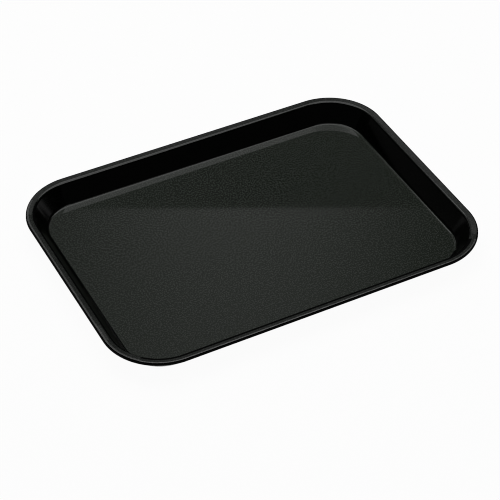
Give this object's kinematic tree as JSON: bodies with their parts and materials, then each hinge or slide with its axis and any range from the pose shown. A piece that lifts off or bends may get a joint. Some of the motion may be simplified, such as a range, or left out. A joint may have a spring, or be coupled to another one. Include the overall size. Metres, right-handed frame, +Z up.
{
  "type": "serving tray",
  "caption": "Shallow rectangular serving tray with large rounded corners, coved sloping walls and a thick narrow rim bead with hidden reinforcing rods.",
  "frame": {"origin": "middle of the flat underside, which is the bottom centre of the whole tray", "axes": "+X along the long side, +Y to the back long side, +Z up out of the tray"},
  "size_m": [0.41, 0.302, 0.0242],
  "materials": {
    "moulding": "black glass-fibre-reinforced polyester, satin with a fine pebble grain",
    "rod_aluminium": "plain drawn rod"
  },
  "bodies": {
    "root": {"tray_body": "moulding", "rim_rod_front": "rod_aluminium", "rim_rod_back": "rod_aluminium", "rim_rod_left": "rod_aluminium", "rim_rod_right": "rod_aluminium"}
  },
  "joints": []
}
